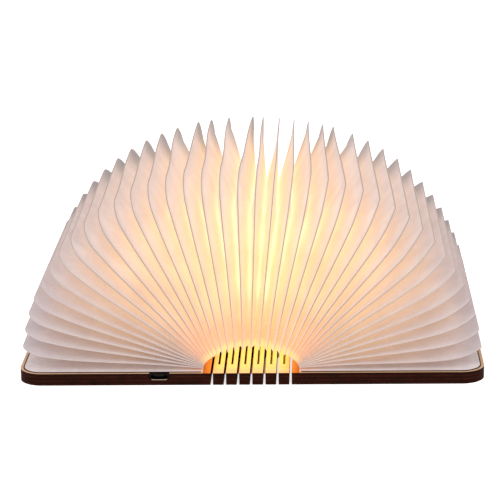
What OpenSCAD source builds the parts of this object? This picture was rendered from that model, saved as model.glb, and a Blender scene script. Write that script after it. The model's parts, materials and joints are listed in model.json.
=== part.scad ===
// Folding book lamp: two wooden covers and a kerf-cut spine from one board, which open flat and fan out a
// paper bellows of 37 pages lit from the spine.
// Millimetres. The spine runs along Y, the covers lie open along X, the underside is at z = 0 and the middle
// of the spine is at the origin.

/* [Cover boards] */
// Width of one cover, from its hinge line to the fore-edge
cover_w = 77.75; // [74.5:0.25:100]
// Depth of the board, from tail to head
board_d = 122; // [119:0.5:170]
// Thickness of the board
board_t = 4.9; // [4.3:0.1:6]
// Radius of the fore-edge corners
fore_r = 9.5; // [2:0.5:12]

/* [Kerf spine] */
// Distance between neighbouring hinge lines
hinge_pitch = 5.25; // [5:0.05:6]
// Width of the open hinge slots
hinge_slot = 1.0; // [0.8:0.05:1.4]
// Width of the closed relief slot in each block
relief_slot = 0.9; // [0.5:0.05:1.4]
// Length of the solid land at each end of a block
land_l = 11; // [6:0.5:16]
// Length of the open slots, from either end to their bridge
open_slot_l = 34; // [24:0.5:44]
// Length of each bridge
bridge_l = 4; // [2:0.25:6]
// Depth of the bending line below the inner face
flex_depth = 2.0; // [1.6:0.1:2.4]
// Gap left between the two halves of a bridge
bridge_gap = 0.2; // [0.1:0.05:0.4]
// Depth of a bridge's root in the wood that carries it
bridge_root = 0.5; // [0.2:0.1:1]
// Depth of wood left out between a bridge and the bending line
bridge_drop = 0.1; // [0.05:0.05:0.3]

/* [Pages] */
// Length of a page, from the spine side to the fore-edge
page_l = 73.5; // [60:0.25:74]
// Height of a page, from tail to head
page_d = 116; // [104:0.5:118]
// Radius of the page corners
page_r = 9; // [5:0.5:12]
// Least radius of the corners of a page's valley line
inner_r = 0.8; // [0.5:0.1:2]
// Distance from the seam to the glued valley line
valley_in = 14; // [12.5:0.5:20]
// Width of the flat seam round a page
seam_w = 2.5; // [1:0.25:4]
// Thickness of one sheet
sheet_t = 0.2; // [0.15:0.01:0.25]
// Clear gap between neighbouring pages
page_gap = 0.3; // [0.2:0.05:0.4]
// Half width of the arch that the pages spring from
arch_w = 19.3; // [18.8:0.1:19.5]
// Height of the arch
arch_h = 8; // [7:0.1:11]
// Height of the foot of the arch over the covers
arch_lift = 0.7; // [0.5:0.05:1.5]
// Thickness of the end papers
end_paper_t = 0.25; // [0.15:0.05:0.35]
// Rim of bare wood round an end paper
end_paper_rim = 1.2; // [0.5:0.1:4]

/* [Light strip] */
// Front edge of the covers to the near end of the strip board, out of sight behind the arch
strip_in = 43; // [40:0.5:46]
// Length of the strip board
strip_l = 58; // [50:1:60]
// Width of the strip board
strip_w = 5; // [4:0.25:5.5]
// Thickness of the strip board
strip_t = 1.0; // [0.6:0.1:1.6]
// Thickness of the pad under the strip board
pad_t = 0.5; // [0.5:0.05:1]
// Width of the pad under the strip board
pad_w = 2; // [1.5:0.1:2.4]
// Gap between the pad and the spine
pad_gap = 0.3; // [0.3:0.05:0.5]
// Number of LEDs
led_n = 10; // [6:1:14]
// Side of an LED across the strip
led_w = 2.8; // [2:0.1:3.5]
// Side of an LED along the strip
led_l = 3.5; // [2.5:0.1:4.2]
// Height of an LED
led_t = 0.7; // [0.5:0.05:1]

/* [Charging] */
// Distance of the socket from its cover's hinge line
port_in = 21; // [18:0.5:40]
// Width of the socket shell
port_w = 7.5; // [7.3:0.1:8]
// Height of the socket shell
port_h = 2.6; // [2.4:0.05:2.8]
// Wall of the socket shell
port_wall = 0.3; // [0.2:0.05:0.4]
// Length of the socket shell
port_l = 5; // [4.5:0.25:6]
// Slant of the shell's lower corners
port_slant = 0.9; // [0.5:0.1:1.2]
// Back wall of the socket shell
port_back = 0.4; // [0.3:0.1:0.6]
// Distance of the mouth behind the front edge
port_front = 0.1; // [0.05:0.05:0.3]
// Width of the contact tongue
tongue_w = 3.8; // [3:0.1:4]
// Thickness of the contact tongue
tongue_t = 0.6; // [0.4:0.05:0.7]
// Distance of the tongue behind the front edge
tongue_in = 0.9; // [0.5:0.1:1.5]
// Gap between the tongue and the shell's top
tongue_gap = 0.4; // [0.3:0.05:0.6]
// Depth of the top of the socket below the inner face
port_drop = 0.2; // [0.1:0.05:0.3]
// Width of the charging board
pcb_w = 22; // [16:0.5:26]
// Length of the charging board
pcb_l = 16; // [13:0.5:20]
// Thickness of the charging board
pcb_t = 0.8; // [0.6:0.1:0.9]
// Side of the charging chip
chip_w = 4; // [3:0.5:5]
// Thickness of the charging chip
chip_t = 1.0; // [0.6:0.1:1.2]
// Side of the coil
coil_w = 4; // [3:0.5:5]
// Thickness of the coil
coil_t = 1.2; // [0.8:0.1:1.3]
// Distance of chip and coil from the back edge of the charging board
chip_back = 4; // [2:0.5:6]
// Width of the Hall switch
hall_w = 3; // [2:0.1:3.2]
// Length of the Hall switch
hall_l = 4; // [2:0.1:4]
// Thickness of the Hall switch
hall_t = 1.1; // [0.6:0.1:1.2]
// Distance of the Hall switch from the side of the charging board
hall_in = 1.5; // [1:0.1:3]
// Front wall that the socket passes through
front_wall = 1.8; // [1.2:0.1:3]
// Width of the battery
batt_w = 40; // [30:0.5:46]
// Length of the battery
batt_l = 60; // [40:1:70]
// Thickness of the battery
batt_t = 3.0; // [2.4:0.1:3.2]
// Distance of the battery from the hinge line
batt_in = 17; // [12:0.5:20]
// Distance of the battery from the front edge
batt_front = 36; // [28:0.5:40]
// Sealed end of the battery, with its protection board
seal_l = 4; // [3:0.5:6]
// Thickness of the sealed end
seal_t = 1.2; // [0.8:0.1:1.8]
// Distance of the sealed end from the battery's sides
seal_in = 3; // [2:0.5:6]
// Height of the sealed end over the battery's underside
seal_up = 0.6; // [0.3:0.1:1]
// Depth of the battery below the inner face
batt_sink = 0.3; // [0.1:0.05:0.4]
// Clearance of every inlaid piece in its pocket
pocket_gap = 0.3; // [0.2:0.05:0.5]
// Clearance under every inlaid piece
floor_gap = 0.1; // [0.05:0.05:0.2]
// Width of the flat leads
lead_w = 2.4; // [2:0.1:3]
// Thickness of the flat leads
lead_t = 0.4; // [0.3:0.05:0.5]
// Distance of the strip's lead from the hinge line
lead_in = 5; // [4.5:0.25:7]
// Depth of the leads' undersides below the inner face
lead_sink = 0.9; // [0.7:0.05:1.1]
// Height of the strip's lead over the spine
lead_over = 0.25; // [0.2:0.05:0.5]
// Length that the strip's lead laps the end of the strip board
lead_lap = 0.2; // [0.1:0.1:1]
// Gap between the strip's lead and the pad beside it
lead_gap = 0.2; // [0.1:0.05:0.4]
// Distance of the strip's lead from the front edge of the charging board
lead_start = 4; // [3:0.5:8]
// Distance of the battery's lead from the battery's side
batt_lead_in = 9; // [4:0.5:20]

/* [Magnets] */
// Diameter of a magnet
magnet_d = 6; // [4:0.5:8]
// Thickness of a magnet
magnet_t = 1.5; // [1:0.1:2]
// Distance of the magnets from the fore-edge
magnet_in = 8; // [7:0.5:10]
// Distance of the magnets from head and tail
magnet_end = 12; // [10:0.5:20]
// Depth of the magnets below the inner face
magnet_sink = 0.2; // [0.1:0.05:0.4]

/* [Hidden] */
$fn = 48;
eps = 0.05;
blocks = 6;
half_spine = blocks / 2 * hinge_pitch;
half_w = half_spine + cover_w;
cover_start = half_spine + hinge_slot / 2;
bridge_h = board_t - flex_depth - bridge_drop;
pages = 37;
page_step = 180 / pages;
page_y = (board_d - page_d) / 2;
arch_table = [for (q = [-90:3:90]) [arch_len(q), q]];
arch_total = arch_len(90);
pad_z = board_t + pad_gap;
strip_z = pad_z + pad_t;
led_z = strip_z + strip_t;
port_x = half_spine + port_in;
port_z = board_t - port_drop - port_h;
pcb_z = port_z - pcb_t;
pcb_y = front_wall + pocket_gap;
batt_x = half_spine + batt_in;
batt_floor = board_t - batt_sink - batt_t - floor_gap;
batt_lead_x = batt_x + batt_lead_in;
lead_x = half_spine + lead_in;
lead_y = pcb_y + lead_start;
lead_z = board_t - lead_sink;
lead_floor = lead_z - floor_gap;
lead_over_z = board_t + lead_over;
lead_cross = strip_in + strip_l - lead_lap + lead_w / 2;
magnet_z = board_t - magnet_sink - magnet_t;

function block_name(k) = str("spine_block_", k);
function page_name(i) = str("page_", i < 10 ? "0" : "", i);

// ---- shared shapes ----

// A sheet or board from x0 to x1 and y0 to y1 whose two corners at x1 are rounded.
module fore_rounded(x0, x1, y0, y1, r) {
  translate([x0, y0]) square([x1 - x0 - r, y1 - y0]);
  translate([x1 - r - eps, y0 + r]) square([r + eps, y1 - y0 - 2 * r]);
  for (y = [y0 + r, y1 - r]) translate([x1 - r, y]) circle(r);
}

// A slot of width w along Y with round ends.
module round_slot(y0, y1, w) {
  translate([-w / 2, y0 + w / 2]) square([w, y1 - y0 - w]);
  for (y = [y0 + w / 2, y1 - w / 2]) translate([0, y]) circle(w / 2);
}

// A straight-sided pocket, open at the inner face.
module pocket(x, y, w, l, floor_z) {
  translate([x, y, floor_z]) cube([w, l, board_t]);
}

// Half a bridge of the hinge, rooted in the wood at x0 and reaching towards the hinge line at x1, at both
// stations.
module bridge_halves(x0, x1) {
  root = x0 + sign(x0 - x1) * bridge_root;
  for (y = [open_slot_l, board_d - open_slot_l - bridge_l])
    translate([min(root, x1), y, 0]) cube([abs(x1 - root), bridge_l, bridge_h]);
}

// ---- covers ----

// The right-hand board with its half of the last hinge line's bridges.
module cover_board() {
  linear_extrude(board_t) fore_rounded(cover_start, half_w, 0, board_d, fore_r);
  bridge_halves(cover_start, half_spine + bridge_gap / 2);
}

module magnet_places() {
  for (y = [magnet_end, board_d - magnet_end]) translate([half_w - magnet_in, y, 0]) children();
}

module magnet_pockets() {
  magnet_places() translate([0, 0, magnet_z - floor_gap])
    cylinder(d = magnet_d + 2 * pocket_gap, h = board_t);
}

// Outline of the socket's cut: straight sides above, slanted corners below, open at the inner face.
module port_outline(grow, up) {
  w = port_w / 2 + grow;
  polygon([
    [-w, port_z + port_h + up], [-w, port_z + port_slant], [-w + port_slant, port_z - grow],
    [w - port_slant, port_z - grow], [w, port_z + port_slant], [w, port_z + port_h + up]
  ]);
}

module along_y(y0, y1) {
  translate([0, y1, 0]) rotate([90, 0, 0]) linear_extrude(y1 - y0) children();
}

// Everything let into the left-hand board, drawn on the right and mirrored with it.
module charging_pockets() {
  translate([port_x, 0, 0]) along_y(-1, pcb_y + 1) port_outline(pocket_gap, 1);
  pocket(port_x - pcb_w / 2 - pocket_gap, pcb_y - pocket_gap, pcb_w + 2 * pocket_gap,
    pcb_l + 2 * pocket_gap, pcb_z - floor_gap);
  pocket(batt_x - pocket_gap, batt_front - pocket_gap, batt_w + 2 * pocket_gap, batt_l + 2 * pocket_gap,
    batt_floor);
  pocket(batt_lead_x - lead_w / 2 - pocket_gap, pcb_y + pcb_l, lead_w + 2 * pocket_gap,
    batt_front - pcb_y - pcb_l, lead_floor);
  pocket(lead_x - lead_w / 2 - pocket_gap, lead_y - pocket_gap, lead_w + 2 * pocket_gap,
    lead_cross + lead_w / 2 - lead_y + 2 * pocket_gap, lead_floor);
  pocket(lead_x, lead_y - pocket_gap, port_x - pcb_w / 2 - lead_x, lead_w + 2 * pocket_gap, lead_floor);
  pocket(half_spine, lead_cross - lead_w / 2 - pocket_gap, lead_x - half_spine,
    lead_w + 2 * pocket_gap, lead_floor);
}

module left_cover() {
  color([0.62, 0.47, 0.33]) mirror([1, 0, 0]) difference() {
    cover_board();
    magnet_pockets();
    charging_pockets();
  }
}

module right_cover() {
  color([0.62, 0.47, 0.33]) difference() {
    cover_board();
    magnet_pockets();
  }
}

module end_paper() {
  translate([0, 0, board_t]) linear_extrude(end_paper_t)
    fore_rounded(arch_w, half_w - end_paper_rim, end_paper_rim,
      board_d - end_paper_rim, max(fore_r - end_paper_rim, 0.5));
}

module left_end_paper() { color([0.96, 0.95, 0.93]) mirror([1, 0, 0]) end_paper(); }

module right_end_paper() { color([0.96, 0.95, 0.93]) end_paper(); }

module magnets() {
  magnet_places() translate([0, 0, magnet_z]) cylinder(d = magnet_d, h = magnet_t);
}

module left_magnets() { color([0.75, 0.76, 0.78]) mirror([1, 0, 0]) magnets(); }

module right_magnets() { color([0.75, 0.76, 0.78]) magnets(); }

// ---- spine ----

// Block k lies between hinge lines k and k + 1. Its relief slots stop at a land at each end and at a bridge
// in the middle, staggered from the bridges of the open slots on both sides.
module spine_block(k) {
  w = hinge_pitch - hinge_slot;
  color([0.66, 0.50, 0.34]) translate([(k - (blocks + 1) / 2) * hinge_pitch, 0, 0]) {
    linear_extrude(board_t) difference() {
      translate([-w / 2, 0]) square([w, board_d]);
      round_slot(land_l, (board_d - bridge_l) / 2, relief_slot);
      round_slot((board_d + bridge_l) / 2, board_d - land_l, relief_slot);
    }
    for (side = [-1, 1]) bridge_halves(side * w / 2, side * (hinge_pitch - bridge_gap) / 2);
  }
}

// ---- light strip ----

module led_pad() {
  color([0.85, 0.85, 0.82]) translate([-pad_w / 2, strip_in, pad_z]) cube([pad_w, strip_l, pad_t]);
}

module led_strip() {
  color([0.95, 0.95, 0.95]) translate([-strip_w / 2, strip_in, strip_z]) cube([strip_w, strip_l, strip_t]);
}

module leds() {
  color([1.0, 0.85, 0.45]) for (i = [0:led_n - 1])
    translate([-led_w / 2, strip_in + strip_l * (i + 0.5) / led_n - led_l / 2, led_z])
      cube([led_w, led_l, led_t]);
}

// Flat lead: from the charging board along its groove, then over the spine and under the strip board.
module led_lead() {
  over_x = cover_start + floor_gap;
  color([0.9, 0.88, 0.8]) mirror([1, 0, 0]) {
    translate([lead_x - lead_w / 2, lead_y, lead_z])
      cube([port_x - pcb_w / 2 - lead_x + lead_w / 2 - floor_gap, lead_w, lead_t]);
    translate([lead_x - lead_w / 2, lead_y, lead_z])
      cube([lead_w, lead_cross + lead_w / 2 - lead_y, lead_t]);
    translate([over_x, lead_cross - lead_w / 2, lead_z]) cube([lead_x - over_x, lead_w, lead_t]);
    translate([over_x, lead_cross - lead_w / 2, lead_z])
      cube([lead_t, lead_w, lead_over_z + lead_t - lead_z]);
    translate([pad_w / 2 + lead_gap, lead_cross - lead_w / 2, lead_over_z])
      cube([over_x + lead_t - pad_w / 2 - lead_gap, lead_w, lead_t]);
  }
}

// ---- charging ----

module battery() {
  color([0.72, 0.74, 0.78]) mirror([1, 0, 0]) translate([batt_x, batt_front, batt_floor + floor_gap]) {
    translate([0, seal_l, 0]) pouch_cell(batt_w, batt_l - seal_l, batt_t);
    translate([seal_in, 0, seal_up]) cube([batt_w - 2 * seal_in, seal_l + eps, seal_t]);
  }
}

// A pouch cell: a slab whose long edges are half round.
module pouch_cell(w, l, t) {
  translate([t / 2, 0, 0]) cube([w - t, l, t]);
  for (x = [t / 2, w - t / 2]) translate([x, l, t / 2]) rotate([90, 0, 0]) cylinder(d = t, h = l);
}

module battery_lead() {
  color([0.85, 0.2, 0.15]) mirror([1, 0, 0])
    translate([batt_lead_x - lead_w / 2, pcb_y + pcb_l + floor_gap, lead_z])
      cube([lead_w, batt_front - pcb_y - pcb_l - 2 * floor_gap, lead_t]);
}

module charge_board() {
  color([0.12, 0.35, 0.2]) mirror([1, 0, 0]) {
    translate([port_x - pcb_w / 2, pcb_y, pcb_z]) cube([pcb_w, pcb_l, pcb_t]);
    translate([port_x, pcb_y + pcb_l - chip_back, pcb_z + pcb_t - eps]) {
      translate([-chip_w / 2, -chip_w, 0]) cube([chip_w, chip_w, chip_t + eps]);
      translate([pcb_w / 4, -coil_w, 0]) cube([coil_w, coil_w, coil_t + eps]);
    }
  }
}

// Socket shell with its tongue and back wall, flush with the front edge of the cover.
module usb_socket() {
  color([0.78, 0.79, 0.8]) mirror([1, 0, 0]) translate([port_x, 0, 0]) {
    difference() {
      along_y(port_front, port_l) port_outline(0, 0);
      along_y(0, port_l - port_back) port_mouth();
    }
    translate([-tongue_w / 2, tongue_in, port_z + port_h - port_wall - tongue_gap - tongue_t])
      cube([tongue_w, port_l - tongue_in - port_back / 2, tongue_t]);
  }
}

module port_mouth() {
  w = port_w / 2 - port_wall;
  polygon([
    [-w, port_z + port_h - port_wall], [-w, port_z + port_slant], [-w + port_slant, port_z + port_wall],
    [w - port_slant, port_z + port_wall], [w, port_z + port_slant], [w, port_z + port_h - port_wall]
  ]);
}

module hall_switch() {
  color([0.1, 0.1, 0.11]) mirror([1, 0, 0])
    translate([port_x - pcb_w / 2 + hall_in, pcb_y + pcb_l - hall_l - chip_back / 2, pcb_z + pcb_t])
      cube([hall_w, hall_l, hall_t]);
}

// ---- pages ----

// A point of the arch that the pages spring from, q degrees from its crown.
function arch_pt(q) = [arch_w * sin(q), board_t + arch_lift + arch_h * cos(q)];
function arch_len(q) = q <= -90 ? 0 : arch_len(q - 3) + norm(arch_pt(q) - arch_pt(q - 3));
// The arch point a share of the way along it, so that the roots are evenly spaced.
function root_pt(share) = arch_pt(lookup(share * arch_total, arch_table));

// Outline of a page inset by e from its seam edge: from the spine at the tail, round both corners, back to
// the spine at the head.
function page_loop(e) =
  let (r = max(page_r - e, inner_r), x = page_l - e - r)
  concat(
    [[0, e]], [for (a = [0:22.5:90]) [x + r * sin(a), e + r - r * cos(a)]],
    [for (a = [0:22.5:90]) [x + r * cos(a), page_d - e - r + r * sin(a)]], [[0, page_d - e]]
  );

// A page is a two-sheet pocket. Each sheet swells from the flat seam to its valley line, where the next page
// is glued on, and both stay open at the spine so that light gets in.
module page(i) {
  share = (i - 0.5) / pages;
  a = -90 + share * 180;
  root = root_pt(share);
  along = [sin(a), cos(a)];
  across = [cos(a), -sin(a)];
  // Half thickness at the root, towards the next page and towards the one before.
  hi = (root_pt(share + 0.5 / pages) - root) * across - page_gap / 2;
  lo = (root - root_pt(share - 0.5 / pages)) * across - page_gap / 2;
  insets = [0, seam_w, 0.45 * valley_in, valley_in];
  loops = [for (e = insets) page_loop(e)];
  n = len(loops[0]);
  sheet = function (k, p, h)
    max(sheet_t, (h + p[0] * sin(page_step / 2)) * sin(90 * insets[k] / valley_in));
  place = function (p, v) [root[0] + along[0] * p[0] + across[0] * v, page_y + p[1],
    root[1] + along[1] * p[0] + across[1] * v];
  points = concat(
    [for (k = [0:3]) for (p = loops[k]) place(p, sheet(k, p, hi))],
    [for (k = [0:3]) for (p = loops[k]) place(p, -sheet(k, p, lo))],
    [for (p = loops[1]) place(p, 0)],
    [for (k = [2:3]) for (p = loops[k]) place(p, sheet(k, p, hi) - sheet_t)],
    [for (k = [2:3]) for (p = loops[k]) place(p, sheet_t - sheet(k, p, lo))]
  );
  // First point of each ring: the skins of both sheets, then the cavity's seam and its two sides.
  up = [0, n, 2 * n, 3 * n];
  dn = [4 * n, 5 * n, 6 * n, 7 * n];
  in_up = [8 * n, 9 * n, 10 * n];
  in_dn = [8 * n, 11 * n, 12 * n];
  strip = function (a, b)
    [for (j = [0:n - 2]) each [[a + j, b + j, b + j + 1], [a + j, b + j + 1, a + j + 1]]];
  ring = function (a, flip) flip ? [for (j = [n - 1:-1:0]) a + j] : [for (j = [0:n - 1]) a + j];
  fan = function (apex, rim) [for (j = [0:len(rim) - 2]) [apex, rim[j], rim[j + 1]]];
  ends = function (a, b, c, d) [[a, b, c, d], [d + n - 1, c + n - 1, b + n - 1, a + n - 1]];
  faces = concat(
    strip(up[0], up[1]), strip(up[1], up[2]), strip(up[2], up[3]), [ring(up[3], true)],
    strip(dn[1], dn[0]), strip(dn[2], dn[1]), strip(dn[3], dn[2]), [ring(dn[3], false)],
    strip(dn[0], up[0]),
    strip(in_up[1], in_up[0]), strip(in_up[2], in_up[1]), [ring(in_up[2], false)],
    strip(in_dn[0], in_dn[1]), strip(in_dn[1], in_dn[2]), [ring(in_dn[2], true)],
    // The open end at the spine.
    fan(in_up[0], [up[1], up[0], dn[0], dn[1]]),
    fan(in_up[0] + n - 1, [for (p = [dn[1], dn[0], up[0], up[1]]) p + n - 1]),
    ends(up[1], in_up[0], in_up[1], up[2]), ends(up[2], in_up[1], in_up[2], up[3]),
    ends(dn[2], in_dn[1], in_dn[0], dn[1]), ends(dn[3], in_dn[2], in_dn[1], dn[2]),
    [[up[3], in_up[2], in_up[2] + n - 1, up[3] + n - 1]],
    [[in_dn[2], dn[3], dn[3] + n - 1, in_dn[2] + n - 1]]
  );
  color([0.97, 0.93, 0.86]) polyhedron(points, faces, convexity = 6);
}

// The pieces are drawn from the front edge at y = 0, and the lamp stands with its middle at the origin.
module centred() { translate([0, -board_d / 2, 0]) children(); }

centred() left_cover();
centred() right_cover();
centred() left_end_paper();
centred() right_end_paper();
centred() left_magnets();
centred() right_magnets();
centred() led_pad();
centred() led_strip();
centred() leds();
centred() led_lead();
centred() battery();
centred() battery_lead();
centred() charge_board();
centred() usb_socket();
centred() hall_switch();
for (k = [1:blocks]) centred() spine_block(k);
for (i = [1:pages]) centred() page(i);
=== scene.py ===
import bmesh
import bpy
import json
import math
from mathutils import Matrix, Vector


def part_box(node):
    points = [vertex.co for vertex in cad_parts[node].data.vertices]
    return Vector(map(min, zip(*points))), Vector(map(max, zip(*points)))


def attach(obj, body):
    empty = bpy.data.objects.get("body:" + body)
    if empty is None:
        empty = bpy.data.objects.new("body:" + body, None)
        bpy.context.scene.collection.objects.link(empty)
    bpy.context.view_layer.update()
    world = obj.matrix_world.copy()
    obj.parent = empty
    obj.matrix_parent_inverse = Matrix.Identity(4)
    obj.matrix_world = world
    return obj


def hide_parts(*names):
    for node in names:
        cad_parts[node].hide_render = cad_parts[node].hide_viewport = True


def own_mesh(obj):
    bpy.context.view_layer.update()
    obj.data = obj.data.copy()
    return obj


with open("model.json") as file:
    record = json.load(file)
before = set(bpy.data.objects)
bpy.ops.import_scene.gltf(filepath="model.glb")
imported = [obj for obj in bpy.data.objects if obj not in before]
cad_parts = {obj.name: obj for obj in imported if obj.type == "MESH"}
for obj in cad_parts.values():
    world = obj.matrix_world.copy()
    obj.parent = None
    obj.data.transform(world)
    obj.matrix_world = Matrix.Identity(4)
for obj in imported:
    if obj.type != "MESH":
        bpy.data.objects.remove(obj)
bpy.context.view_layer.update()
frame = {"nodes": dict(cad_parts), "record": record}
nodes = frame["nodes"]
scene = bpy.context.scene
MM = 0.001
# Half the depth of the covers, and the height after which the dark and light plies in a cut edge repeat.
HALF_DEPTH, PLY_REPEAT = 61.0 * MM, 1.5 * MM
# The radius of the corners of the covers, and the rim of bare wood round the end papers.
FORE_R, END_RIM = 9.5 * MM, 1.2 * MM


# ---------------------------------------------------------------- camera
# Yaw, pitch and roll in degrees, the point looked at, and how far off the camera stands.
YAW, PITCH, ROLL = 1.908, 15.501, -0.908
TARGET = Vector((0.397, -61.0, 55.895)) * MM
CAMERA_OFF = 0.84395
LENS_MM, SENSOR_MM = 154.70, 36.0


def make_camera():
    """The camera, turned by YAW and tilted down by PITCH about the target, and rolled by ROLL."""
    yaw, pitch, roll = (math.radians(v) for v in (YAW, PITCH, ROLL))
    right = Vector((math.cos(yaw), math.sin(yaw), 0))
    ahead = Vector((-math.sin(yaw), math.cos(yaw), 0))
    up = Vector((0, 0, 1))
    sight = math.cos(pitch) * ahead - math.sin(pitch) * up
    up = math.sin(pitch) * ahead + math.cos(pitch) * up
    x_axis = math.cos(roll) * right + math.sin(roll) * up
    y_axis = -math.sin(roll) * right + math.cos(roll) * up
    place = TARGET - sight * CAMERA_OFF
    data = bpy.data.cameras.new("camera")
    data.lens = LENS_MM
    data.sensor_width = SENSOR_MM
    data.clip_start, data.clip_end = 0.05, 20
    camera = bpy.data.objects.new("camera", data)
    m = Matrix((x_axis, y_axis, -sight)).transposed().to_4x4()
    m.translation = place
    camera.matrix_world = m
    scene.collection.objects.link(camera)
    scene.camera = camera


make_camera()
scene.view_settings.view_transform = "Standard"


# ---------------------------------------------------------------- node helpers
def srgb(r, g, b):
    """A colour written as screen values from 0 to 255, as the linear colour that shaders take."""
    out = []
    for v in (r, g, b):
        v /= 255
        out.append(v / 12.92 if v <= 0.04045 else ((v + 0.055) / 1.055) ** 2.4)
    return (*out, 1)


class Mat:
    """A Principled material with short calls for the nodes that feed it."""

    def __init__(self, name, roughness=0.6, metallic=0.0, specular=0.3):
        self.m = bpy.data.materials.new(name)
        self.m.use_nodes = True
        self.tree = self.m.node_tree
        self.p = self.tree.nodes["Principled BSDF"]
        self.p.inputs["Roughness"].default_value = roughness
        self.p.inputs["Metallic"].default_value = metallic
        self.p.inputs["Specular IOR Level"].default_value = specular
        self._coord_node = None

    def new(self, kind, **sets):
        n = self.tree.nodes.new(kind)
        for k, v in sets.items():
            setattr(n, k, v)
        return n

    def put(self, socket, value):
        if isinstance(value, bpy.types.NodeSocket):
            self.tree.links.new(value, socket)
        else:
            socket.default_value = value

    def coords(self, which="Object"):
        if self._coord_node is None:
            self._coord_node = self.new("ShaderNodeTexCoord")
        return self._coord_node.outputs[which]

    def axis(self, i, which="Object"):
        n = self.new("ShaderNodeSeparateXYZ")
        self.put(n.inputs[0], self.coords(which))
        return n.outputs[i]

    def math(self, op, a, b=0.0):
        n = self.new("ShaderNodeMath", operation=op)
        self.put(n.inputs[0], a)
        self.put(n.inputs[1], b)
        return n.outputs[0]

    def step(self, value, lo, hi, to_lo=0.0, to_hi=1.0, smooth=True):
        n = self.new("ShaderNodeMapRange", clamp=True)
        n.interpolation_type = "SMOOTHSTEP" if smooth else "LINEAR"
        for k, v in zip(("Value", "From Min", "From Max", "To Min", "To Max"), (value, lo, hi, to_lo, to_hi)):
            self.put(n.inputs[k], v)
        return n.outputs[0]

    def attribute(self, name):
        return self.new("ShaderNodeAttribute", attribute_name=name).outputs["Fac"]

    def noise(self, scale, detail=3.0, rough=0.5, stretch=(1, 1, 1), distort=0.0):
        mapping = self.new("ShaderNodeMapping")
        mapping.inputs["Scale"].default_value = stretch
        self.put(mapping.inputs["Vector"], self.coords())
        n = self.new("ShaderNodeTexNoise")
        n.inputs["Scale"].default_value = scale
        n.inputs["Detail"].default_value = detail
        n.inputs["Roughness"].default_value = rough
        n.inputs["Distortion"].default_value = distort
        self.put(n.inputs["Vector"], mapping.outputs[0])
        return n.outputs["Fac"]

    def ramp(self, fac, *stops):
        n = self.new("ShaderNodeValToRGB")
        r = n.color_ramp
        while len(r.elements) < len(stops):
            r.elements.new(0.5)
        for e, (at, colour) in zip(r.elements, stops):
            e.position = at
            e.color = colour if len(colour) == 4 else (*colour, 1)
        self.put(n.inputs[0], fac)
        return n.outputs[0]

    def mix(self, fac, a, b):
        n = self.new("ShaderNodeMix", data_type="RGBA")
        self.put(n.inputs[0], fac)
        self.put(n.inputs[6], a)
        self.put(n.inputs[7], b)
        return n.outputs[2]

    def bump(self, height, strength, distance):
        n = self.new("ShaderNodeBump")
        n.inputs["Strength"].default_value = strength
        n.inputs["Distance"].default_value = distance
        self.put(n.inputs["Height"], height)
        self.put(self.p.inputs["Normal"], n.outputs[0])

    def set(self, name, value):
        self.put(self.p.inputs[name], value)


# ---------------------------------------------------------------- materials
# Glow of the strip on the wood: over the spine, at the two ends of the spine, and beside it.
GLOW_YELLOW, GLOW_AMBER, GLOW_ORANGE = srgb(255, 219, 104), srgb(255, 184, 96), srgb(250, 142, 48)
# Light that comes through the paper, in linear colour, from where it is weakest to where it is strongest.
GLOW_STOPS = (
    (0.0, (0.0, 0.0, 0.0)),
    (0.2, (0.12, 0.075, 0.040)),
    (0.4, (0.24, 0.150, 0.070)),
    (0.6, (0.37, 0.235, 0.10)),
    (0.8, (0.44, 0.297, 0.115)),
    (1.0, (0.50, 0.405, 0.21)),
)
# The same at its strongest far from the spine.
OUTER_GLOW = (0.55, 0.44, 0.34, 1)
# The same close to the spine, and at the cut ends of the pages.
ROOT_GLOW, EDGE_GLOW = (0.48, 0.175, 0.05, 1), (0.52, 0.32, 0.07, 1)
# Strength of the glow of the LEDs, and of the board that stands in their light.
LED_LIGHT, BOARD_LIGHT = 3.0, 0.7


def on_top(k, top_z):
    """1 on faces that look up at the height top_z or above, and 0 elsewhere."""
    at_top = k.step(k.axis(2), top_z - 0.0002, top_z - 0.00005)
    return k.math("MULTIPLY", at_top, k.step(k.axis(2, "Normal"), 0.6, 0.9))


def strip_glow(k, top_z):
    """The lamp light on an upward face at top_z: a colour and a strength."""
    off = k.math("ABSOLUTE", k.axis(0))
    from_end = k.math("SUBTRACT", HALF_DEPTH, k.math("ABSOLUTE", k.axis(1)))
    inner = k.step(from_end, 0.001, 0.016)
    side = k.step(off, 0.012, 0.0175)
    colour = k.mix(inner, GLOW_AMBER, GLOW_YELLOW)
    colour = k.mix(side, colour, GLOW_ORANGE)
    strength = k.step(off, 0.0165, 0.0215, 1.0, 0.0)
    strength = k.math("MULTIPLY", strength, k.step(from_end, 0.0, 0.010, 0.62, 0.80))
    return colour, k.math("MULTIPLY", strength, on_top(k, top_z))


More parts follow.
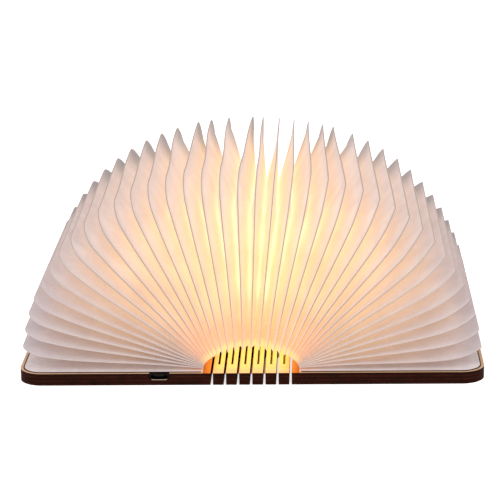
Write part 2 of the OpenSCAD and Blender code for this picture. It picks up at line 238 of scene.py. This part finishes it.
def wood(name, top_z):
    """Laser-cut plywood: tan on the inner face, veneered outside, charred on every cut edge."""
    k = Mat(name, specular=0.08)
    z, up = k.axis(2), k.axis(2, "Normal")
    grain = k.noise(34, 6, 0.62, (1, 14, 1), 0.6)
    pores = k.noise(1100, 2, 0.5, (0.05, 1, 1))
    veneer = k.ramp(grain, (0.30, srgb(88, 52, 30)), (0.52, srgb(128, 80, 48)), (0.72, srgb(158, 106, 66)))
    veneer = k.mix(k.step(pores, 0.56, 0.70, 0.0, 0.8), veneer, srgb(66, 38, 22))
    tan = k.ramp(grain, (0.30, srgb(206, 162, 124)), (0.70, srgb(232, 194, 156)))
    waves = k.math("MULTIPLY", k.noise(40, 3, 0.6, (1, 1, 0.2)), 0.35)
    plies = k.math("ADD", k.math("MULTIPLY", z, 1 / PLY_REPEAT), waves)
    band = k.math("PINGPONG", plies, 0.5)
    soot = k.noise(260, 4, 0.65, (0.5, 0.5, 1.6))
    char = k.mix(k.step(band, 0.16, 0.40), srgb(42, 13, 6), srgb(60, 25, 13))
    char = k.mix(k.step(soot, 0.40, 0.72), char, srgb(30, 9, 4))
    # The strip of each cover between the spine and its end paper is a darker brown.
    off = k.math("ABSOLUTE", k.axis(0))
    strip = k.mix(k.step(off, 0.0193, 0.0195), srgb(150, 70, 24), tan)
    tan = k.mix(k.step(off, 0.0150, 0.0162), tan, strip)
    inner_face = on_top(k, top_z)
    face = k.mix(inner_face, veneer, tan)
    cut = k.step(k.math("ABSOLUTE", up), 0.75, 0.9)
    flat = k.math("MULTIPLY", cut, k.math("MAXIMUM", inner_face, k.step(z, 0.00012, 0.00005)))
    k.set("Base Color", k.mix(flat, char, face))
    k.set("Roughness", k.mix(flat, srgb(232, 232, 232), k.step(grain, 0.2, 0.8, 0.42, 0.62)))
    k.bump(k.math("ADD", grain, k.math("MULTIPLY", soot, 0.5)), 0.25, 0.0002)
    colour, strength = strip_glow(k, top_z)
    k.set("Emission Color", colour)
    k.set("Emission Strength", strength)
    return k.m


def page_paper():
    """Tear-proof paper lit from within. inset is the distance from the seam and reach the one from the
    spine, depth goes from 0 at the seam to 1 in the valley, lift is 1 for an upright page and 0 for a
    lying one, and facing is 1 on the sheet that faces the middle of the fan and 0 on the other."""
    k = Mat("page_paper", roughness=0.72, specular=0.15)
    names = ("inset", "depth", "reach", "lift", "facing")
    inset, depth, reach, lift, facing = (k.attribute(name) for name in names)
    fibre = k.noise(900, 4, 0.6, (1, 0.35, 1), 1.2)
    cloud = k.noise(95, 3, 0.55)
    mottle = k.math("ADD", k.math("MULTIPLY", fibre, 0.35), k.math("MULTIPLY", cloud, 0.65))
    paper = k.ramp(mottle, (0.30, srgb(214, 205, 209)), (0.70, srgb(230, 223, 225)))
    # Painted shade at the far ends of the pages towards the head: grey paper and a weaker glow.
    tip_shade = k.math("MULTIPLY", k.step(reach, 0.050, 0.072), k.step(k.axis(1), 0.022, 0.056))
    paper = k.mix(k.math("MULTIPLY", tip_shade, 0.55), paper, srgb(142, 142, 148))
    upright = k.step(lift, 0.15, 0.8)
    # Painted shade along the seam: a brown-grey line on upright pages, close to the paper's colour on lying
    # ones.
    seam = k.step(inset, 0.00012, 0.00044, 1.0, 0.0)
    k.set("Base Color", k.mix(seam, paper, k.mix(upright, srgb(220, 206, 204), srgb(190, 172, 162))))
    away, towards = k.step(inset, 0.0005, 0.0080, 0.36, 0.72), k.step(inset, 0.0005, 0.0065, 0.54, 0.78)
    near_seam = k.mix(facing, away, towards)
    through = k.math("ADD", near_seam, k.step(depth, 0.62, 1.0, 0.0, 0.24))
    right = k.step(k.axis(0), -0.010, 0.030)
    root = k.mix(right, k.step(reach, 0.010, 0.036, 0.70, 1.0), k.step(reach, 0.010, 0.036, 1.14, 1.0))
    spread = k.math("MULTIPLY", k.step(reach, 0.020, 0.072, 1.0, 0.62, smooth=False), root)
    spread = k.math("MULTIPLY", spread, k.step(reach, 0.0645, 0.0695, 1.0, 0.62))
    along = k.mix(upright, spread, k.step(reach, 0.045, 0.0745, 1.0, 0.66))
    height = k.step(lift, 0, 1, k.step(right, 0, 1, 0.26, 0.36), 1.0, smooth=False)
    glow = k.math("MULTIPLY", k.math("MULTIPLY", through, along), height)
    glow = k.math("MULTIPLY", glow, k.step(mottle, 0.3, 0.7, 0.96, 1.04))
    seam_shade = k.math("MULTIPLY", seam, k.step(upright, 0, 1, 0.2, 0.75))
    shade = k.math("MAXIMUM", seam_shade, k.math("MULTIPLY", tip_shade, 0.62))
    glow = k.math("MULTIPLY", glow, k.math("SUBTRACT", 1.0, shade))
    light = k.ramp(glow, *GLOW_STOPS)
    outer = k.math("MULTIPLY", k.step(reach, 0.030, 0.062, 0.0, 0.5), k.step(depth, 0.15, 0.65, 1.0, 0.25))
    light = k.mix(outer, light, k.mix(glow, (0, 0, 0, 1), OUTER_GLOW))
    high = k.step(lift, 0.3, 0.9)
    light = k.mix(k.math("MULTIPLY", k.step(reach, 0.003, 0.024, 0.9, 0.0), high), light, ROOT_GLOW)
    light = k.mix(k.math("MULTIPLY", k.step(reach, 0.001, 0.0035, 1.0, 0.0), high), light, EDGE_GLOW)
    k.set("Emission Color", light)
    k.set("Emission Strength", 1.0)
    k.bump(mottle, 0.18, 0.00015)
    return k.m


def end_paper_material():
    """Paper with a dark line round its edge, and a weak glow that fades away from the spine."""
    k = Mat("end_paper", roughness=0.75, specular=0.12)
    mottle = k.noise(300, 4, 0.6)
    inset = k.attribute("inset")
    paper = k.ramp(mottle, (0.3, srgb(214, 206, 208)), (0.7, srgb(230, 222, 222)))
    off = k.math("ABSOLUTE", k.axis(0))
    border = k.math("MAXIMUM", k.step(inset, 0.00040, 0.00052), k.step(off, 0.0197, 0.0202, 1.0, 0.0))
    k.set("Base Color", k.mix(border, srgb(44, 20, 12), paper))
    k.set("Emission Color", k.mix(k.step(off, 0.018, 0.034), GLOW_ORANGE, srgb(255, 226, 206)))
    k.set("Emission Strength", k.math("MULTIPLY", border, k.step(off, 0.0165, 0.040, 0.20, 0.09)))
    k.bump(mottle, 0.15, 0.0001)
    return k.m


def metal(name, light, dark, roughness):
    """Metal, mottled between two colours."""
    k = Mat(name, metallic=1.0, specular=0.5)
    n = k.noise(160, 3, 0.6, (1, 1, 4))
    k.set("Base Color", k.mix(n, dark, light))
    k.set("Roughness", k.step(n, 0.2, 0.8, roughness - 0.08, roughness + 0.10))
    k.bump(n, 0.12, 0.00005)
    return k.m


def plastic(name, light, dark, roughness=0.5, scale=200.0, bump=0.1):
    """Plastic or foam, mottled between two colours."""
    k = Mat(name, specular=0.4)
    n = k.noise(scale, 3, 0.6)
    k.set("Base Color", k.mix(k.step(n, 0.3, 0.7), dark, light))
    k.set("Roughness", k.step(n, 0.3, 0.7, roughness - 0.06, roughness + 0.08))
    k.bump(n, bump, 0.00005)
    return k.m


def lit(material, colour, strength):
    """The same material with a glow of its own."""
    p = material.node_tree.nodes["Principled BSDF"]
    p.inputs["Emission Color"].default_value = colour
    p.inputs["Emission Strength"].default_value = strength
    return material


def socket_steel():
    """The steel of the socket: its mouth lies in the shade, and its lower lip catches the light."""
    k = Mat("socket_steel", roughness=0.4, metallic=0.9, specular=0.3)
    dents = k.noise(1500, 2, 0.6)
    lip = k.step(k.math("ADD", k.axis(2), k.math("MULTIPLY", dents, 0.0007)), 0.00270, 0.00295, 1.0, 0.0)
    lip = k.math("MULTIPLY", lip, k.step(k.axis(1), -0.0604, -0.0600, 1.0, 0.0))
    k.set("Base Color", k.mix(lip, k.mix(dents, srgb(14, 12, 12), srgb(40, 36, 34)), srgb(160, 138, 124)))
    k.bump(dents, 0.3, 0.0001)
    return k.m


def circuit():
    """A green circuit board with a grid of tracks."""
    k = Mat("circuit_board", specular=0.4)
    brick = k.new("ShaderNodeTexBrick")
    brick.inputs["Scale"].default_value = 260
    brick.inputs["Color1"].default_value = srgb(18, 84, 52)
    brick.inputs["Color2"].default_value = srgb(22, 98, 60)
    brick.inputs["Mortar"].default_value = srgb(176, 150, 84)
    brick.inputs["Mortar Size"].default_value = 0.03
    k.put(brick.inputs["Vector"], k.coords())
    k.set("Base Color", brick.outputs["Color"])
    k.set("Roughness", k.step(k.noise(200), 0.3, 0.7, 0.35, 0.5))
    return k.m


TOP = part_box("left_cover")[1][2]
materials = {
    "cover_wood": wood("cover_wood", TOP),
    "spine_wood": wood("spine_wood", TOP),
    "page_paper": page_paper(),
    "end_paper": end_paper_material(),
    "magnet": metal("magnet", srgb(206, 208, 212), srgb(168, 170, 176), 0.25),
    "foam_pad": plastic("foam_pad", srgb(226, 224, 216), srgb(204, 202, 192), 0.85, 700, 0.5),
    "strip_board": lit(
        plastic("strip_board", srgb(244, 240, 230), srgb(228, 222, 208), 0.4), GLOW_YELLOW, BOARD_LIGHT
    ),
    "led": lit(
        plastic("led", srgb(250, 226, 140), srgb(240, 206, 110), 0.35), srgb(255, 214, 130), LED_LIGHT
    ),
    "lead": plastic("lead", srgb(232, 226, 208), srgb(214, 206, 186), 0.5),
    "battery_foil": metal("battery_foil", srgb(196, 200, 208), srgb(160, 164, 172), 0.35),
    "circuit_board": circuit(),
    "socket_steel": socket_steel(),
    "chip": plastic("chip", srgb(40, 40, 42), srgb(26, 26, 28), 0.55),
}
for part in frame["record"]["subparts"]:
    mesh = nodes[part["node"]].data
    mesh.materials.clear()
    mesh.materials.append(materials[part["material_slot"]])


# ---------------------------------------------------------------- pages
PAGES = 37
MIDDLE = 19
STEP = 180 / PAGES
# Depth of a page, and the radius of its corners.
PAGE_D, PAGE_R = 116.0, 9.0
# Length of a page from its root: an upright one, a lying one, and what a slanting one reaches further.
UPRIGHT_L, LYING_L, SLANT_L = 72.3, 73.6, 2.0
# How far inside the outline the valleys lie, the width of the seam, the thickness of a sheet and the gap
# between two pages.
VALLEY_IN, SEAM_W, SHEET_T, GAP = 17.0, 2.2, 0.2, 0.06
# The page that opens latest, and how much further in its valleys lie than those of most pages.
LATE, VALLEY_MORE = MIDDLE + 1, 7.0
# How far in the valleys lie at the spine, and the reach from which on they lie as far in as they get.
ROOT_VALLEY, ROOT_REACH = 5.5, 26.0
# The cut ends of the pages along the spine flare towards the covers at the tail and the head: how much of
# the way they go, and over how many pages from the middle one.
FLARE, FLARE_PAGES = 0.9, 5.4
# How far a lying page bows towards its cover at about three quarters of its length. A steeper one bows less.
BOW = 1.5
# Half the thickness of a page at its seam.
EDGE_T = 0.2
# As in the solids: the thickness of the covers, and half the width, the height and the lift over the covers
# of the arch that the pages spring from.
BOARD_T, ARCH_W, ARCH_H, ARCH_LIFT = 4.9, 19.3, 8.0, 0.7
# From this page on the corners are cut off in a slow curve. Before it they are rounded.
FIRST_CUT = MIDDLE
# How much longer the rounded corners at the tail are along the fore-edge, on pages that are not lying.
TAIL_STRETCH = 0.9
# The slow wave in the fore-edge of a page, in degrees, left of the middle page and from it on.
WAVE_LEFT, WAVE_RIGHT = 0.55, 0.25
# How far these pages lean from their regular places towards the right, in degrees, at the tail and the head.
# The pages between them follow in a smooth curve.
LEAN_PAGES = (1, 7, 13, 19, 25, 31, 37)
TAIL_LEAN = (3.0, 1.3, 2.4, 2.4, 1.8, 0.2, -1.6)
HEAD_LEAN = (2.2, 1.1, 1.6, 2.9, -0.8, 0.2, -3.2)
# Pages whose heads stand out of line beside a neighbour in the photograph, and by how many degrees.
HEAD_PUSHED = {15: 1.5, 18: 2.4, 24: -1.5}


def arch_point(q):
    """The point of the arch in x and z at the angle q from its top."""
    return (ARCH_W * math.sin(q), BOARD_T + ARCH_LIFT + ARCH_H * math.cos(q))


def arch_table():
    """Lengths along the arch from its left foot, each with its angle."""
    rows, total, last = [], 0.0, arch_point(-math.pi / 2)
    for d in range(-90, 91, 3):
        p = arch_point(math.radians(d))
        total += math.dist(p, last)
        rows.append((total, math.radians(d)))
        last = p
    return rows


ARCH = arch_table()


def root_turn(i):
    """The place of page i on the arch, as an angle from its top."""
    want = (i - 0.5) / PAGES * ARCH[-1][0]
    for (l0, q0), (l1, q1) in zip(ARCH, ARCH[1:]):
        if want <= l1:
            return q0 + (q1 - q0) * (want - l0) / (l1 - l0)
    return math.pi / 2


def root_point(i):
    """Where page i springs from the arch, in x and z."""
    return arch_point(root_turn(i))


def flared_root(i, y):
    """The same at y from the tail, with the flare that the two ends of the pages have."""
    q = root_turn(i)
    spread = math.asin(math.tanh((i - MIDDLE) / FLARE_PAGES))
    return arch_point(q + FLARE * (2 * y / PAGE_D - 1) ** 2 * (spread - q))


def regular_angle(i):
    """The direction of page i in radians from upright, growing to the right."""
    return math.radians((i - 0.5) * STEP - 90)


def page_length(i):
    """How far page i reaches from its root."""
    a = regular_angle(i)
    return UPRIGHT_L + (LYING_L - UPRIGHT_L) * math.sin(a) ** 2 + SLANT_L * math.sin(2 * a) ** 2


def lean_of(i, leans):
    """How far page i leans, from the leans of the pages in LEAN_PAGES."""
    for p0, p1, lean0, lean1 in zip(LEAN_PAGES, LEAN_PAGES[1:], leans, leans[1:]):
        if i <= p1:
            return lean0 + (lean1 - lean0) * (1 - math.cos(math.pi * (i - p0) / (p1 - p0))) / 2
    return leans[-1]


def angle_at(i, y):
    """The direction of page i at y from its tail, with the slow wave that its fore-edge has."""
    t = y / PAGE_D
    tail, head = lean_of(i, TAIL_LEAN), lean_of(i, HEAD_LEAN) + HEAD_PUSHED.get(i, 0.0)
    size = WAVE_LEFT if i < MIDDLE else WAVE_RIGHT
    wave = size * math.sin(2 * math.pi * t) * (0.7 + 0.3 * math.sin(2.4 * i))
    return regular_angle(i) + math.radians(tail + (head - tail) * t + wave)


def middle_of(i, u, y):
    """A point in x and z of the middle of page i, u from its root and y from its tail."""
    if i < 1 or i > PAGES:  # the mirror image, in its cover, of the outermost page
        x, z = middle_of(1 if i < 1 else PAGES, u, y)
        return (x, 2 * (BOARD_T + ARCH_LIFT) - z)
    x, z = root_point(i)
    fx, fz = flared_root(i, y)
    a = angle_at(i, y)
    t = min(u / page_length(i), 1.0)
    bow = BOW * math.sin(regular_angle(i)) * math.sin(math.pi * t**2.2)
    dx = (fx - x) * (1 - t) + math.cos(a) * bow
    dz = (fz - z) * (1 - t) - math.sin(a) * bow
    return (x + math.sin(a) * u + dx, z + math.cos(a) * u + dz)


def ramp(v, lo, hi):
    """How far v is on the way from lo to hi, kept between 0 and 1."""
    return min(max((v - lo) / (hi - lo), 0.0), 1.0)


def half_outline(i, e, stretch):
    """Points (u, y) of half the outline of page i, inset by e, from the spine round the corner to the
    middle of the fore-edge. The corner is lengthened along the fore-edge by stretch."""
    length = page_length(i)
    cut = i >= FIRST_CUT
    r = max(2 * PAGE_R - 1.5 * e, 1.6) if cut else max(PAGE_R - e, 0.8)
    turns = [math.radians((7.5 if cut else 11.25) * t) for t in range(9)]
    x = length - e - r * math.sin(turns[-1])
    points = [(x * t / 12, e) for t in range(12)]
    points += [(x + r * math.sin(t), e + r * stretch * (1 - math.cos(t))) for t in turns]
    top = points[-1][1]
    return points + [(length - e, top + (PAGE_D / 2 - top) * t / 5) for t in range(1, 6)]


def outline(i, e):
    """Points (u, y) of the outline of page i, inset by e, from the spine at the tail round to the spine at
    the head."""
    tail = half_outline(i, e, 1 + TAIL_STRETCH * ramp(i, 4, 9) * (i < FIRST_CUT))
    head = half_outline(i, e, 1.0)
    return tail + [(u, PAGE_D - y) for u, y in reversed(head[:-1])]


def valley_in(i):
    """How far inside its outline page i joins the next ones."""
    return VALLEY_IN + VALLEY_MORE * math.exp(-(((i - LATE) / 2) ** 4))


def ring_insets(i):
    """Insets of the rings of points on the outside of page i, from its outline to its valleys."""
    wide = (valley_in(i) - SEAM_W) / (VALLEY_IN - SEAM_W)
    inside = (1.2, 2.8, 4.8, 7.3, 9.8, 12.3, VALLEY_IN - SEAM_W)
    return [0.0, 0.35, 1.1, SEAM_W] + [SEAM_W + e * wide for e in inside]


# The rings that the two sheets of a page also have on the inside start with this one.
FIRST_INNER = 4


def valley_at(i, u):
    """The inset of the valleys of page i, u from its root."""
    t = min(u / ROOT_REACH, 1.0)
    return ROOT_VALLEY + (valley_in(i) - ROOT_VALLEY) * t * t * (3 - 2 * t)


def opening(i, e, u):
    """How far page i has opened at inset e and u from its root, from 0 in its seam to 1 at its valley."""
    t = min(max((e - SEAM_W) / (valley_at(i, u) - SEAM_W), 0.0), 1.0)
    t **= 1 + 0.8 * math.exp(-(((i - LATE) / 1.4) ** 2))
    return t * (0.72 + 0.28 * math.sin(math.pi / 2 * t))


def make_page(i):
    """The paper of page i: a pocket of two sheets, closed by its seam and open along the spine."""
    verts, inset, part_in, reach, facing = [], [], [], [], []
    # 1 where the sheet towards the next page faces the middle of the fan, and -1 where it faces away.
    turned = min(max((MIDDLE - i) / 2.5, -1.0), 1.0)

    def add_ring(e, side, depth):
        """A ring of points on the sheet towards the next page (side 1) or the last one (side -1), depth
        below its skin."""
        start = len(verts)
        for u, y in outline(i, e):
            x0, z0 = middle_of(i, u, y)
            x1, z1 = middle_of(i + side, u, y)
            dx, dz = (x1 - x0) / 2, (z1 - z0) / 2
            half = math.hypot(dx, dz)
            room = half - GAP / 2
            out = max(room * opening(i, e, u), min(EDGE_T + 0.05 * min(e, 1.0), room)) - depth
            verts.append(((x0 + dx / half * out) * MM, (y - PAGE_D / 2) * MM, (z0 + dz / half * out) * MM))
            inset.append(e * MM)
            part_in.append(min(e / valley_at(i, u), 1.0))
            reach.append(u * MM)
            facing.append((1 + turned * side) / 2)
        return start

    n = len(outline(i, 0))
    rings = ring_insets(i)
    inner = rings[FIRST_INNER:]
    upper = [add_ring(e, 1, 0) for e in rings]
    lower = [add_ring(e, -1, 0) for e in rings]
    in_upper = [add_ring(e, 1, SHEET_T) for e in inner]
    in_lower = [add_ring(e, -1, SHEET_T) for e in inner]
    faces = []

    def band(a, b):
        """The faces between two rings."""
        faces.extend((a + j, b + j, b + j + 1, a + j + 1) for j in range(n - 1))

    def cap(a):
        """The middle of a sheet, in strips from tail to head."""
        for j in range(n // 2):
            faces.append(tuple(dict.fromkeys((a + j, a + n - 1 - j, a + n - 2 - j, a + j + 1))))

    for sheet in (upper, lower, in_upper, in_lower):
        for a, b in zip(sheet, sheet[1:]):
            band(a, b)
        cap(sheet[-1])
    band(lower[0], upper[0])
    band(in_upper[0], in_lower[0])
    # The cut ends of the sheets along the spine.
    first = FIRST_INNER
    for j in (0, n - 1):
        for sheet, lining in ((upper, in_upper), (lower, in_lower)):
            for k in range(len(inner) - 1):
                a, b = sheet[first + k], sheet[first + k + 1]
                faces.append((a + j, lining[k] + j, lining[k + 1] + j, b + j))
        for k in range(first):
            faces.append((lower[k + 1] + j, lower[k] + j, upper[k] + j, upper[k + 1] + j))
        faces.append((upper[first] + j, lower[first] + j, in_lower[0] + j, in_upper[0] + j))
    for sheet, lining in ((upper[-1], in_upper[-1]), (lower[-1], in_lower[-1])):
        faces.append((sheet, lining, lining + n - 1, sheet + n - 1))

    name = f"page_{i:02d}"
    angle = regular_angle(i)
    mesh = bpy.data.meshes.new(f"{name}_paper")
    mesh.from_pydata(verts, [], faces)
    lift = [math.cos(angle)] * len(verts)
    values = {"inset": inset, "depth": part_in, "reach": reach, "facing": facing, "lift": lift}
    for key, value in values.items():
        mesh.attributes.new(key, "FLOAT", "POINT").data.foreach_set("value", value)
    mesh.materials.append(materials["page_paper"])
    obj = bpy.data.objects.new(f"{name}_paper", mesh)
    scene.collection.objects.link(obj)
    recalc(obj)
    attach(obj, "core" if i == MIDDLE else name)
    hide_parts(name)
    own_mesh(obj)


# Edges that turn by more than this are shaded hard.
HARD_EDGE = math.radians(40)


def recalc(obj):
    """Smooth faces with outward normals, and hard edges where they meet sharply."""
    bm = bmesh.new()
    bm.from_mesh(obj.data)
    bmesh.ops.recalc_face_normals(bm, faces=bm.faces)
    for f in bm.faces:
        f.smooth = True
    for e in bm.edges:
        e.smooth = not (len(e.link_faces) == 2 and e.calc_face_angle(0) > HARD_EDGE)
    bm.to_mesh(obj.data)
    bm.free()


for i in range(1, PAGES + 1):
    make_page(i)


# ---------------------------------------------------------------- end papers
def make_end_paper(side):
    """A thin sheet glued inside the cover, with its corners rounded at the fore-edge."""
    name = "right_end_paper" if side > 0 else "left_end_paper"
    lo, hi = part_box(name)
    x0, x1 = (lo[0], hi[0]) if side > 0 else (-hi[0], -lo[0])
    y0, y1, z0, z1 = lo[1], hi[1], lo[2], hi[2]
    r0 = FORE_R - END_RIM
    turns = [math.radians(11.25 * t) for t in range(9)]

    def loop(e):
        """The outline of the sheet, inset by e."""
        r = max(r0 - e, 0.3 * MM)
        pts = [(x0 + e, y0 + e)]
        pts += [(x1 - e - r + r * math.sin(a), y0 + e + r - r * math.cos(a)) for a in turns]
        pts += [(x1 - e - r + r * math.cos(a), y1 - e - r + r * math.sin(a)) for a in turns]
        pts.append((x0 + e, y1 - e))
        return pts

    verts, inset, faces = [], [], []
    rows = [(0.0, z0), (0.0, z1 - 0.06 * MM), (0.06 * MM, z1), (0.5 * MM, z1), (0.56 * MM, z1), (3 * MM, z1)]
    for e, z in rows:
        for x, y in loop(e):
            verts.append((side * x, y, z))
            inset.append(e)
    n = len(loop(0))
    for k in range(len(rows) - 1):
        for j in range(n):
            a, b = k * n + j, k * n + (j + 1) % n
            faces.append((a, b, b + n, a + n))
    top = (len(rows) - 1) * n
    faces.append(tuple(range(top, top + n)))
    faces.append(tuple(reversed(range(n))))
    mesh = bpy.data.meshes.new(name + "_sheet")
    mesh.from_pydata(verts, [], faces)
    mesh.attributes.new("inset", "FLOAT", "POINT").data.foreach_set("value", inset)
    mesh.materials.append(materials["end_paper"])
    obj = bpy.data.objects.new(name + "_sheet", mesh)
    scene.collection.objects.link(obj)
    recalc(obj)
    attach(obj, "right_cover" if side > 0 else "left_cover")
    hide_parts(name)


make_end_paper(1)
make_end_paper(-1)


# ---------------------------------------------------------------- flat leads
# In millimetres, for the centre lines: the place in y and the height at which the lead to the strip crosses
# the spine, and the height of both leads in their grooves.
LEAD_Y, LEAD_Z, GROOVE_Z = 41.15, 5.35, 4.2
# Centre lines: from the charging board along its groove in the left cover and up to the cover's edge at the
# spine, and from the charging board to the battery.
STRIP_LEAD = (
    (-25.5, -53.7, GROOVE_Z),
    (-20.75, -53.7, GROOVE_Z),
    (-20.75, LEAD_Y, GROOVE_Z),
    (-18.6, LEAD_Y, GROOVE_Z),
    (-16.9, LEAD_Y, LEAD_Z),
    (-16.45, LEAD_Y, LEAD_Z),
)
# The same lead over the spine, glued to its blocks: the ends in x of the length on each block. It is left
# open over the slots, which close as the book does.
LEAD_OVER = ((-15.05, -11.2), (-9.8, -5.95), (-4.55, -0.7))
BATTERY_LEAD = ((-41.75, -42.7, GROOVE_Z), (-41.75, -25.2, GROOVE_Z))
# Half the cross-section of a lead, in its width and its thickness, and the size of its bends.
LEAD_EDGE = ((1.05, 0.0), (0.93, 0.19), (-0.93, 0.19), (-1.05, 0.0), (-0.93, -0.19), (0.93, -0.19))
LEAD_BEND, LEAD_STEP = 1.3, 3.0


def lead_path(corners):
    """The centre line through the corners, with bends in their place and no long steps."""
    corners = [Vector(c) for c in corners]
    path = [corners[0]]
    for before, here, after in zip(corners, corners[1:], corners[2:]):
        back, on = before - here, after - here
        a = here + back.normalized() * min(LEAD_BEND, back.length * 0.45)
        b = here + on.normalized() * min(LEAD_BEND, on.length * 0.45)
        path += [a.lerp(here, t / 6).lerp(here.lerp(b, t / 6), t / 6) for t in range(7)]
    path.append(corners[-1])
    fine = [path[0]]
    for a, b in zip(path, path[1:]):
        steps = math.ceil((b - a).length / LEAD_STEP)
        fine += [a.lerp(b, t / steps) for t in range(1, steps + 1)]
    return fine


def make_lead(name, node, body, corners):
    """A flat lead along the corners, riding on body."""
    path = lead_path(corners)
    verts = []
    for j, p in enumerate(path):
        along = (path[min(j + 1, len(path) - 1)] - path[max(j - 1, 0)]).normalized()
        side = Vector((-along.y, along.x, 0)).normalized()
        up = along.cross(side)
        verts += [(p + side * w + up * t) * MM for w, t in LEAD_EDGE]
    n = len(LEAD_EDGE)
    faces = [
        (a + k, a + (k + 1) % n, a + n + (k + 1) % n, a + n + k)
        for a in range(0, len(verts) - n, n)
        for k in range(n)
    ]
    faces += [tuple(range(n)), tuple(range(len(verts) - n, len(verts)))]
    mesh = bpy.data.meshes.new(name)
    mesh.from_pydata(verts, [], faces)
    mesh.materials.append(materials["lead"])
    obj = bpy.data.objects.new(name, mesh)
    scene.collection.objects.link(obj)
    recalc(obj)
    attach(obj, body)
    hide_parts(node)


make_lead("battery_ribbon", "battery_lead", "left_cover", BATTERY_LEAD)
make_lead("strip_ribbon", "led_lead", "left_cover", STRIP_LEAD)
for k, (x0, x1) in enumerate(LEAD_OVER, 1):
    ends = ((x0, LEAD_Y, LEAD_Z), (x1, LEAD_Y, LEAD_Z))
    make_lead(f"strip_ribbon_over_{k}", "led_lead", f"spine_block_{k}", ends)


# ---------------------------------------------------------------- light and floor
def area(name, place, aim, size, power, colour=(1, 1, 1)):
    """A round soft light at place that shines at aim."""
    data = bpy.data.lights.new(name, "AREA")
    data.shape, data.size, data.energy, data.color = "DISK", size, power, colour
    lamp = bpy.data.objects.new(name, data)
    lamp.location = place
    lamp.rotation_euler = (Vector(aim) - Vector(place)).to_track_quat("-Z", "Y").to_euler()
    scene.collection.objects.link(lamp)


area("key", (-0.5, -0.9, 1.1), (0, 0, 0.03), 0.9, 3.0)
area("fill", (0.7, -0.8, 0.7), (0, 0, 0.03), 0.9, 1.2, (1.0, 0.98, 0.97))


def seen_rays(tree):
    """1 for rays that see the background or the floor directly, in a gloss or through glass, 0 for light."""
    path = tree.nodes.new("ShaderNodeLightPath")
    seen = path.outputs["Is Camera Ray"]
    for other in ("Is Glossy Ray", "Is Transmission Ray"):
        m = tree.nodes.new("ShaderNodeMath")
        m.operation = "MAXIMUM"
        tree.links.new(seen, m.inputs[0])
        tree.links.new(path.outputs[other], m.inputs[1])
        seen = m.outputs[0]
    return seen


world = bpy.data.worlds.new("studio")
world.use_nodes = True
scene.world = world
wt = world.node_tree
bg = wt.nodes["Background"]
bg.inputs["Color"].default_value = (0.98, 0.98, 1.0, 1)
seen = seen_rays(wt)
strength = wt.nodes.new("ShaderNodeMapRange")
strength.inputs["To Min"].default_value = 0.8
strength.inputs["To Max"].default_value = 1.0
wt.links.new(seen, strength.inputs["Value"])
wt.links.new(strength.outputs[0], bg.inputs["Strength"])


# In metres: half the distance between two open slots of the spine, and where the painted shade on the floor
# fades out, to the left and the right of the spine and towards its two ends.
HALF_PITCH = 0.002625
ZONE_LEFT, ZONE_RIGHT, ZONE_ENDS = (-0.0177, -0.0170), (0.0163, 0.0170), (0.0450, 0.0485)
# Strength of the light of the bare floor, and that under the closed slots as a share of it.
FLOOR_LIGHT, CLOSED_LIGHT = 0.72, 0.42


def make_floor():
    """The white floor, with painted shade under the spine."""
    size = 4.0
    mesh = bpy.data.meshes.new("floor")
    corners = [(-size, -size, 0), (size, -size, 0), (size, size, 0), (-size, size, 0)]
    mesh.from_pydata(corners, [], [(0, 1, 2, 3)])
    obj = bpy.data.objects.new("floor", mesh)
    scene.collection.objects.link(obj)
    k = Mat("floor", roughness=1.0, specular=0.0)
    k.set("Base Color", (0.8, 0.8, 0.8, 1))
    # Painted to come near the photograph, where the open slots show dark on the left and pale on the right.
    # The closed slots, in the middle of the blocks, get a dim brown.
    # The dark zone under the spine is painted shade, and the dim brown under the closed slots is painted warm
    # light.
    closed = k.step(k.math("PINGPONG", k.axis(0), HALF_PITCH), 0.0013, 0.0019)
    beside = k.math("MAXIMUM", k.step(k.axis(0), *ZONE_LEFT, 1, 0), k.step(k.axis(0), *ZONE_RIGHT))
    leak = k.math("MULTIPLY", k.step(k.axis(0), 0.0, 0.0125), k.math("SUBTRACT", 1.0, closed))
    beside = k.math("MAXIMUM", beside, leak)
    beyond = k.step(k.math("ABSOLUTE", k.axis(1)), *ZONE_ENDS)
    free = k.math("MAXIMUM", beside, beyond)
    k.set("Emission Color", k.mix(free, srgb(200, 150, 60), (1, 1, 1, 1)))
    level = k.math("MAXIMUM", free, k.math("MULTIPLY", closed, CLOSED_LIGHT))
    k.set("Emission Strength", k.math("MULTIPLY", seen_rays(k.tree), k.math("MULTIPLY", level, FLOOR_LIGHT)))
    mesh.materials.append(k.m)


make_floor()
